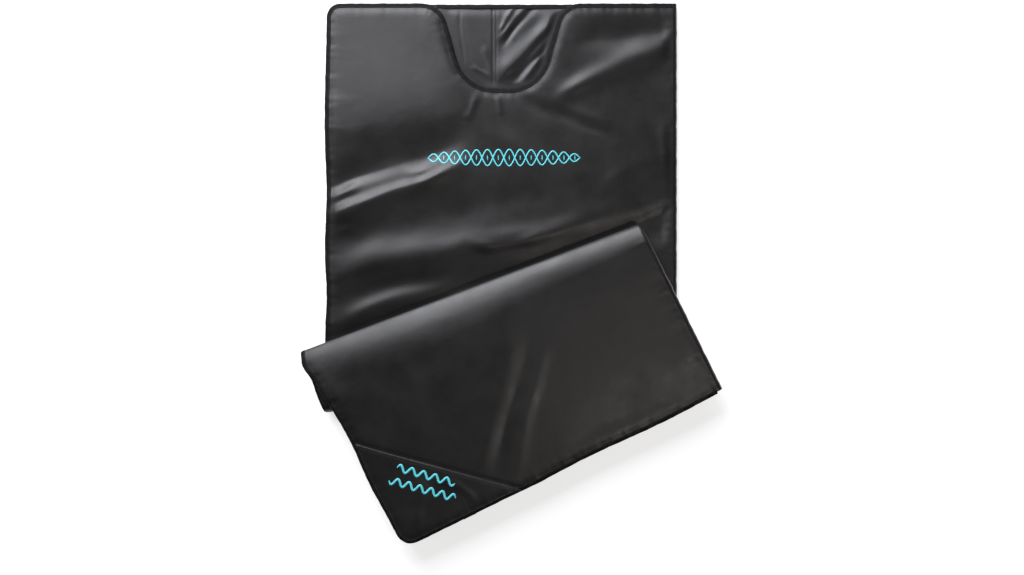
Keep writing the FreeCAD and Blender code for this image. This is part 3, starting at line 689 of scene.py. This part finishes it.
def stitches(name, path, inset, surface, lift=0.0010):
    """A row of thread stitches along a path on the flat blanket."""
    lengths, inward = edge_frame(path)
    marks = np.arange(STITCH_PITCH / 2, lengths[-1], STITCH_PITCH)
    x = np.interp(marks, lengths, path[:, 0] + inward[:, 0] * inset)
    y = np.interp(marks, lengths, path[:, 1] + inward[:, 1] * inset)
    ix, iy = np.interp(marks, lengths, inward[:, 0]), np.interp(marks, lengths, inward[:, 1])
    verts, faces = [], []
    sides = 6
    height = surface(x, y) + lift
    for place, fat in STITCH_RINGS:
        px, py = x + iy * place * STITCH_LONG, y - ix * place * STITCH_LONG
        for k in range(sides):
            angle = 2 * math.pi * k / sides
            side = STITCH_RADIUS * fat * math.cos(angle)
            rise = STITCH_RADIUS * fat * math.sin(angle) - (STITCH_SUNK if fat < 1 else 0)
            verts.append(np.stack(fold(px + ix * side, py + iy * side, height + rise), axis=-1))
    count = len(STITCH_RINGS) * sides
    cloud = np.stack(verts, axis=1).reshape(-1, 3)
    for m in range(len(marks)):
        base = m * count
        for r in range(len(STITCH_RINGS) - 1):
            for q in range(sides):
                n = (q + 1) % sides
                a = base + r * sides
                faces.append((a + q, a + n, a + sides + n, a + sides + q))
        faces.append(tuple(base + q for q in range(sides - 1, -1, -1)))
        faces.append(tuple(base + count - sides + q for q in range(sides)))
    return make_mesh(name, cloud, faces, [THREAD], None, 80)


# ---------------- materials
def material(name, colour, roughness, specular=0.5):
    item = bpy.data.materials.new(name)
    item.use_nodes = True
    shader = item.node_tree.nodes["Principled BSDF"]
    shader.inputs["Base Color"].default_value = (*colour, 1)
    shader.inputs["Roughness"].default_value = roughness
    shader.inputs["Specular IOR Level"].default_value = specular
    return item, item.node_tree, shader


def node(tree, kind, **inputs):
    item = tree.nodes.new(kind)
    for name, value in inputs.items():
        item.inputs[name.replace("_", " ")].default_value = value
    return item


def texture(tree, kind, **inputs):
    """A texture node in the piece's own coordinates."""
    item = node(tree, kind, **inputs)
    place = tree.nodes.new("ShaderNodeTexCoord").outputs["Object"]
    tree.links.new(place, item.inputs["Vector"])
    return item


def noise(tree, scale, detail=3.0, rough=0.5):
    item = texture(tree, "ShaderNodeTexNoise", Scale=scale, Detail=detail, Roughness=rough)
    return item.outputs["Fac"]


def ramp(tree, value, low, high, first, last):
    item = tree.nodes.new("ShaderNodeMapRange")
    tree.links.new(value, item.inputs["Value"])
    for name, number in zip(("From Min", "From Max", "To Min", "To Max"), (low, high, first, last)):
        item.inputs[name].default_value = number
    return item.outputs["Result"]


def colour_mix(tree, factor, first, second):
    item = tree.nodes.new("ShaderNodeMix")
    item.data_type = "RGBA"
    tree.links.new(factor, item.inputs["Factor"])
    item.inputs["A"].default_value = (*first, 1)
    item.inputs["B"].default_value = (*second, 1)
    return item.outputs["Result"]


def bump(tree, shader, layers):
    """Stacks bump layers: (height, strength, distance)."""
    last = None
    for height, strength, distance in layers:
        item = node(tree, "ShaderNodeBump", Strength=strength, Distance=distance)
        tree.links.new(height, item.inputs["Height"])
        if last is not None:
            tree.links.new(last, item.inputs["Normal"])
        last = item.outputs["Normal"]
    tree.links.new(last, shader.inputs["Normal"])


def cells(tree, scale):
    item = texture(tree, "ShaderNodeTexVoronoi", Scale=scale)
    item.feature = "DISTANCE_TO_EDGE"
    return item.outputs["Distance"]


def leatherette(name, dark, light, roughness):
    """Satin polyurethane with a fine pebbled grain, faint scuffs and slow changes of sheen."""
    item, tree, shader = material(name, dark, roughness, 0.42)
    tree.links.new(colour_mix(tree, ramp(tree, noise(tree, 9, 4), 0.35, 0.7, 0, 1), dark, light),
                   shader.inputs["Base Color"])
    sheen = ramp(tree, noise(tree, 14, 5, 0.6), 0.3, 0.7, roughness - 0.05, roughness + 0.06)
    tree.links.new(sheen, shader.inputs["Roughness"])
    grain = ramp(tree, cells(tree, 620), 0.0, 0.25, 0, 1)
    bump(tree, shader, [(noise(tree, 38, 3), 0.22, 0.0012), (grain, 0.16, 0.00018),
                        (noise(tree, 1400, 2), 0.10, 0.0001)])
    return item


def woven(name, dark, light, roughness, count=900):
    """Tightly woven tape: two crossed sets of threads."""
    item, tree, shader = material(name, dark, roughness, 0.16)
    heights = []
    for direction in ("X", "Y"):
        wave = texture(tree, "ShaderNodeTexWave", Scale=count / 6.28, Distortion=0.6, Detail=1.0)
        wave.bands_direction = direction
        heights.append(wave.outputs["Fac"])
    blend = tree.nodes.new("ShaderNodeMath")
    blend.operation = "MULTIPLY"
    tree.links.new(heights[0], blend.inputs[0])
    tree.links.new(heights[1], blend.inputs[1])
    tree.links.new(colour_mix(tree, noise(tree, 60, 4), dark, light), shader.inputs["Base Color"])
    tree.links.new(ramp(tree, noise(tree, 90, 3), 0.3, 0.7, roughness - 0.06, roughness + 0.06),
                   shader.inputs["Roughness"])
    bump(tree, shader, [(noise(tree, 160, 3), 0.25, 0.0006), (blend.outputs[0], 0.35, 0.0002)])
    return item


def thread(name, colour, second, roughness):
    """Twisted embroidery thread."""
    item, tree, shader = material(name, colour, roughness, 0.5)
    wave = texture(tree, "ShaderNodeTexWave", Scale=260.0, Distortion=1.5, Detail=2.0)
    wave.bands_direction = "DIAGONAL"
    tint = colour_mix(tree, wave.outputs["Fac"], colour, second)
    tree.links.new(tint, shader.inputs["Base Color"])
    bump(tree, shader, [(wave.outputs["Fac"], 0.4, 0.0003)])
    return item


def moulded(name, colour, roughness, metallic=0.0):
    """Moulded plastic or metal with a fine texture."""
    item, tree, shader = material(name, colour, roughness)
    shader.inputs["Metallic"].default_value = metallic
    lighter = tuple(min(1, c * 1.3 + 0.01) for c in colour)
    tint = colour_mix(tree, noise(tree, 120, 3), colour, lighter)
    tree.links.new(tint, shader.inputs["Base Color"])
    bump(tree, shader, [(noise(tree, 900, 2), 0.15, 0.0001)])
    return item


SHELL = leatherette("black_leatherette", (0.0075, 0.0073, 0.0073), (0.0110, 0.0106, 0.0105), 0.40)
LINING = leatherette("black_lining", (0.010, 0.010, 0.0105), (0.015, 0.015, 0.0155), 0.36)
BINDING = woven("binding_tape", (0.0026, 0.0026, 0.0028), (0.0055, 0.0055, 0.0058), 0.74)
FASTENER = woven("hook_and_loop_pile", (0.010, 0.010, 0.010), (0.022, 0.022, 0.022), 0.9, 500)
THREAD = thread("black_thread", (0.020, 0.020, 0.021), (0.045, 0.045, 0.047), 0.5)
TEAL = thread("teal_thread", (0.075, 0.560, 0.640), (0.130, 0.680, 0.760), 0.42)
HOUSING = moulded("inlet_plastic", (0.02, 0.02, 0.021), 0.45)
INSULATOR = moulded("insulator_plastic", (0.30, 0.30, 0.31), 0.5)
BRASS = moulded("contact_metal", (0.75, 0.58, 0.28), 0.3, 1.0)
STEEL = moulded("fuse_metal", (0.62, 0.62, 0.63), 0.35, 1.0)
RUBBER = moulded("lead_cover", (0.03, 0.03, 0.03), 0.6)


def dress(names, item):
    """Gives carried-over CAD nodes a better material."""
    for name in names:
        part = frame["nodes"][name]
        part.data.materials.clear()
        part.data.materials.append(item)


dress(["inlet_housing", "overheat_thermostat"], HOUSING)
dress(["inlet_insulator"], INSULATOR)
dress(["inlet_contacts"], BRASS)
dress(["thermal_fuse"], STEEL)
dress(["sensor_leads"], RUBBER)


# ---------------- how pieces ride
def over_crease(piece):
    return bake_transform(piece)


def over_fold():
    """A way to place a piece over a fold: it only bakes the piece's transform into its mesh."""
    return lambda piece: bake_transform(piece)


over_lower = over_fold()
over_lower_wide = over_fold()
over_upper = over_fold()
over_upper_wide = over_fold()


def attach(piece, way, nodes=()):
    """Rides a piece on a body's empty, or hands it to a way that bakes its transform, and hides the
    CAD nodes it stands for.
    """
    if callable(way):
        way(piece)
    else:
        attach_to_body(piece, way)
    if nodes:
        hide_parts(*nodes)


LAYER_NAMES = ("shell", "insulation", "heating_mat", "mineral_layer", "lining")


def layer_nodes(prefix, closure):
    return [f"{prefix}_{layer}" for layer in LAYER_NAMES] + [f"{prefix}_{closure}_strip"]


# ---------------- padded panels
def flat_level(height):
    return lambda x, y: np.full_like(np.asarray(x, float), height)


def padded_panels():
    under_cover = flat_level(PANEL + COVER_GAP)
    under_back = flat_level(0.0)
    back, cover = [LINING, SHELL], [SHELL, LINING]
    plan = [
        ("back_panel_upper", ["back_head", "neck_low", "lower_in", "lower_out", "split_mid"],
         (80, 60, 20, 8), lining_top, under_back, back, over_lower_wide,
         ("head_back", "mid_back"), "loop"),
        ("back_panel_lower", ["split_mid", "upper_in", "upper_out", "foot"], (8, 20, 40),
         flat_level(PANEL), under_back, back, over_upper, ("foot_back",), "loop"),
        ("cover_panel_head", ["cover_head", "split_head"], (230,),
         cover_top, under_cover, cover, over_crease, ("cover_corner", "head_cover"), "hook"),
        ("cover_panel_middle", ["split_head", "lower_in", "lower_out", "split_mid"], (10, 20, 8),
         cover_top, under_cover, cover, over_lower, ("mid_cover",), "hook"),
        ("cover_panel_foot", ["split_mid", "upper_in", "upper_out", "foot"], (8, 28, 150),
         cover_top, under_cover, cover, over_upper_wide, ("foot_cover",), "hook"),
    ]
    for name, rows, counts, top, bottom, faces, way, prefixes, closure in plan:
        piece = panel(name, rows, counts, top, bottom, faces)
        nodes = [node_name for prefix in prefixes for node_name in layer_nodes(prefix, closure)]
        attach(piece, way, nodes)


padded_panels()


# ---------------- spine
def spine_pieces():
    upper_rows = ["spine_head", "lower_in", "lower_out", "split_mid"]
    lower_rows = ["split_mid", "upper_in", "upper_out", "foot"]
    upper = spine_piece("spine_upper", upper_rows, (150, 20, 8))
    lower = spine_piece("spine_lower", lower_rows, (8, 24, 80))
    attach(upper, over_lower, ["head_spine", "mid_spine"])
    attach(lower, over_upper, ["foot_spine"])


spine_pieces()


# ---------------- bindings
def head_stretch(path):
    """The stretch of a path that lies in the head section."""
    distance = past(path[:, 0], path[:, 1], LOWER_POINT, LOWER_ALONG)
    chosen = np.nonzero(distance > SPLIT - 0.003)[0]
    return path[chosen[0]:chosen[-1] + 1]


def side_height(name):
    return float(station(name, np.array([LEFT + TAPE / 2]))[0])


def side_stretch(high, low):
    """A dense stretch of the left side."""
    count = max(20, int((high - low) / 0.003))
    return np.array([(LEFT, high + (low - high) * k / count) for k in range(count + 1)])


def edge_top(x, y):
    return cover_top(x, y) - 0.0002


def fold_top(x, y):
    """The cover's edge, below the lower fold's mid-height so that the tape parts there."""
    return np.minimum(edge_top(x, y), BAG - 0.0009)


def bindings():
    back_high, back_low = flat_level(PANEL - 0.0006), flat_level(0.0012)
    cover_low = flat_level(PANEL + 0.0016)
    head_cover, head_back = head_stretch(COVER_EDGE), head_stretch(BACK_EDGE)
    middle = side_stretch(side_height("split_head"), side_height("split_mid"))
    foot_start = FOOT + FOOT_CORNER + 0.012
    foot_side = side_stretch(side_height("split_mid"), foot_start)
    foot_whole = np.vstack([[(LEFT, foot_start)], FOOT_EDGE])
    near_inlet = np.abs(foot_whole[:, 0] - (MIDDLE - INLET_PLACE)) < INLET_WIDE / 2 + 0.001
    gap_start, gap_end = np.nonzero(near_inlet)[0][[0, -1]]
    foot_plan = [
        ("foot_tape_corner", foot_whole[:gap_start], back_low, ["foot_end_binding"]),
        ("foot_tape_long", foot_whole[gap_end + 1:], back_low, []),
        ("foot_tape_inlet", foot_whole[gap_start - 1:gap_end + 2], cover_low, []),
    ]
    plan = [
        ("cover_tape_head", head_cover, edge_top, cover_low, over_crease,
         ["cover_corner_binding", "head_cover_binding"]),
        ("cover_tape_middle", middle, fold_top, cover_low, over_lower, ["mid_cover_binding"]),
        ("cover_tape_foot", foot_side, edge_top, cover_low, over_upper_wide,
         ["foot_cover_binding"]),
        ("back_tape_head", head_back, back_high, back_low, "head_section", ["head_back_binding"]),
        ("back_tape_middle", middle, back_high, back_low, over_lower_wide, ["mid_back_binding"]),
        ("back_tape_foot", foot_side, back_high, back_low, over_upper, ["foot_back_binding"]),
    ] + [(name, path, edge_top, bottom, "foot_section", nodes)
         for name, path, bottom, nodes in foot_plan]
    for name, path, top, bottom, way, nodes in plan:
        attach(sweep(name, path, tape_profile(top, bottom), [BINDING]), way, nodes)
    thread_rows = [
        ("cover_stitches_head", head_cover, over_crease),
        ("cover_stitches_foot_side", foot_side, over_upper_wide),
        ("cover_stitches_foot_end", foot_whole, "foot_section"),
    ]
    for name, path, way in thread_rows:
        attach(stitches(name, path, STITCH_INSET, cover_top), way)


bindings()


# ---------------- hook-and-loop strips
def closure_strips():
    """Thin strips on the facing linings along the open side."""
    x = np.linspace(LEFT + TAPE, LEFT + TAPE + CLOSURE, 6)
    plan = [
        ("loop_strip_head", PANEL - 0.0002, PANEL + 0.00018, "head_section"),
        ("hook_strip_head", PANEL + 0.00022, PANEL + 0.0007, over_crease),
    ]
    for name, low, high, way in plan:
        piece = panel(name, ["back_head", "split_head"], (90,), flat_level(high), flat_level(low),
                      [FASTENER, FASTENER], x)
        attach(piece, way)


closure_strips()


# ---------------- corner patch seam and teal embroidery
def patch_line(offset):
    across, margin = side_of(PATCH_ALONG), 0.026
    steps = np.linspace(margin, PATCH_REACH - margin, 160)
    return np.array([PATCH_START + PATCH_ALONG * step + across * offset for step in steps])


def patch_skin():
    """The corner patch: a second layer, hemmed at its seam, tucked under the tapes."""
    across = -side_of(PATCH_ALONG)
    inset = TAPE - 0.003
    margin = inset * 1.7
    steps = np.linspace(margin, PATCH_REACH - margin, 120)
    starts = np.array([PATCH_START + PATCH_ALONG * step for step in steps])
    low, high = np.zeros(len(starts)), np.full(len(starts), 0.4)
    for _ in range(30):
        middle = (low + high) / 2
        spot = starts + across * middle[:, None]
        floor_y = FOOT + corner_cut(spot[:, 0], FOOT_CORNER, inset)
        inside = (spot[:, 0] > LEFT + inset) & (spot[:, 1] > floor_y)
        low, high = np.where(inside, middle, low), np.where(inside, high, middle)
    shares = np.concatenate([np.linspace(0, 0.03, 4, endpoint=False), np.linspace(0.03, 1, 70)])
    x = starts[:, 0] + across[0] * low * shares[:, None]
    y = starts[:, 1] + across[1] * low * shares[:, None]
    depth = low * shares[:, None]
    rise = PATCH_THICK * np.sqrt(np.clip(depth / 0.0012, 0.02, 1))
    upper = np.stack(fold(x, y, cover_top(x, y) + rise), axis=-1).reshape(-1, 3)
    lower = np.stack(fold(x, y, cover_top(x, y) - 0.0012), axis=-1).reshape(-1, 3)
    return closed_grid("corner_patch_skin", upper, lower, x.shape, [SHELL], [0, 0])


def corner_seams():
    attach(patch_skin(), "foot_section", ["corner_patch"])
    for name, offset in (("patch_stitches_outer", -0.0025), ("patch_stitches_inner", -0.0085)):
        piece = stitches(name, patch_line(offset), 0, patch_top, lift=0.0002)
        attach(piece, "foot_section")
    seam_x, seam_start, seam_step = MIDDLE - INLET_PLACE + 0.004, FOOT + TAPE + 0.045, 0.0045
    seam = np.array([(seam_x, seam_start - k * seam_step) for k in range(11)])
    piece = stitches("inlet_seam_stitches", seam, 0, patch_top, lift=0.0002)
    attach(piece, "foot_section")


corner_seams()

CHEST_DEPTH = 0.396
CHEST_WIDE = 0.391
CHEST_RISE = 0.021
CHEST_WAVES = 14
CHEST_THREAD, PATCH_THREAD = 0.0017, 0.0030
DOT_HALF = 0.006
PATCH_ROWS = ((0.150, 5), (0.172, 6))
PATCH_SPACING, PATCH_RISE = 0.036, 0.0085


def chest_motif():
    """Two crossing waves that fade out at their ends, with a row of dots between them."""
    centre = (MIDDLE + 0.0065, HEAD - CHEST_DEPTH)
    lines = []
    for sign in (1, -1):
        steps = np.linspace(-0.5, 0.5, 181)
        swell = np.cos(steps * math.pi) ** 0.35
        rise = sign * CHEST_RISE * swell * np.sin(steps * CHEST_WAVES * math.pi)
        lines.append(list(zip(centre[0] + steps * CHEST_WIDE, centre[1] + rise)))
    for number in range(-6, 7):
        x = centre[0] + (number + 0.5) / CHEST_WAVES * CHEST_WIDE
        if abs(x - centre[0]) < CHEST_WIDE * 0.48:
            lines.append([(x, centre[1] + DOT_HALF * share) for share in (1, 0.5, 0, -0.5, -1)])
    piece = ribbon("chest_embroidery", lines, CHEST_THREAD, cover_top)
    attach(piece, over_crease)


def patch_motif():
    """Two rows of waves beside the corner patch seam."""
    along, across = PATCH_ALONG, -side_of(PATCH_ALONG)
    middle = PATCH_START + along * (PATCH_REACH / 2 - 0.020) + across * 0.046
    lines = []
    for row, (length, waves) in enumerate(PATCH_ROWS):
        level = (row - 0.5) * PATCH_SPACING
        steps = np.linspace(-0.5, 0.5, 90)
        line = []
        for step in steps:
            rise = PATCH_RISE * math.sin(step * waves * 2 * math.pi)
            line.append(tuple(middle + along * step * length + across * (level + rise)))
        lines.append(line)
    piece = ribbon("patch_embroidery", lines, PATCH_THREAD, patch_top)
    attach(piece, "foot_section")


chest_motif()
patch_motif()


# ---------------- floor, light and camera
FLOOR_REACH, FLOOR_DROP, FLOOR_GLOW = 4.0, 0.0005, 0.70
STUDIO_GLOW = 0.05


def stage_floor():
    mesh = bpy.data.meshes.new("floor")
    signs = ((-1, -1), (1, -1), (1, 1), (-1, 1))
    corners = [(a * FLOOR_REACH, b * FLOOR_REACH, 0) for a, b in signs]
    mesh.from_pydata(corners, [], [(0, 1, 2, 3)])
    floor = bpy.data.objects.new("floor", mesh)
    floor.location.z = -FLOOR_DROP
    bpy.context.scene.collection.objects.link(floor)
    item, _, shader = material("white_floor", (0.55, 0.55, 0.55), 0.9, 0.1)
    shader.inputs["Emission Color"].default_value = (1, 1, 1, 1)
    shader.inputs["Emission Strength"].default_value = FLOOR_GLOW
    mesh.materials.append(item)


def area_light(name, place, target, size, power, colour):
    lamp = bpy.data.lights.new(name, "AREA")
    lamp.shape = "RECTANGLE"
    lamp.size, lamp.size_y = size
    lamp.energy = power
    lamp.color = colour
    item = bpy.data.objects.new(name, lamp)
    item.location = place
    direction = Vector(target) - Vector(place)
    item.rotation_euler = direction.to_track_quat("-Z", "Y").to_euler()
    bpy.context.scene.collection.objects.link(item)


# name, place, aim, size, power, colour
LIGHTS = [
    ("key", (-1.15, 2.25, 2.3), (-0.15, 0.25, 0), (2.4, 1.7), 136, (0.935, 0.945, 1.0)),
    ("low_key", (-0.9, 2.9, 1.15), (-0.1, 0.1, 0), (2.6, 1.1), 100, (0.955, 0.96, 1.0)),
    ("fill", (0.86, -0.74, 2.3), (0.4, -0.4, 0), (0.45, 0.45), 8, (1.0, 0.92, 0.85)),
    ("side", (-2.4, -0.2, 1.6), (0, 0, 0), (1.0, 1.6), 5, (0.96, 0.98, 1.0)),
]
CAMERA_HEIGHT, SEEN_WIDTH, SENSOR = 2.6, 2.616, 36
CAMERA_RIGHT, CAMERA_BELOW = 0.0272, 0.7275


def lights():
    for light in LIGHTS:
        area_light(*light)
    world = bpy.data.worlds.new("studio")
    world.use_nodes = True
    background = world.node_tree.nodes["Background"]
    background.inputs["Color"].default_value = (1, 1, 1, 1)
    background.inputs["Strength"].default_value = STUDIO_GLOW
    bpy.context.scene.world = world


def camera():
    view = bpy.data.cameras.new("camera")
    view.sensor_width = SENSOR
    view.lens = SENSOR * CAMERA_HEIGHT / SEEN_WIDTH
    item = bpy.data.objects.new("camera", view)
    item.location = (MIDDLE + CAMERA_RIGHT, HEAD - CAMERA_BELOW, CAMERA_HEIGHT + BAG)
    bpy.context.scene.collection.objects.link(item)
    bpy.context.scene.camera = item


stage_floor()
lights()
camera()
bpy.context.scene.view_settings.view_transform = "Standard"
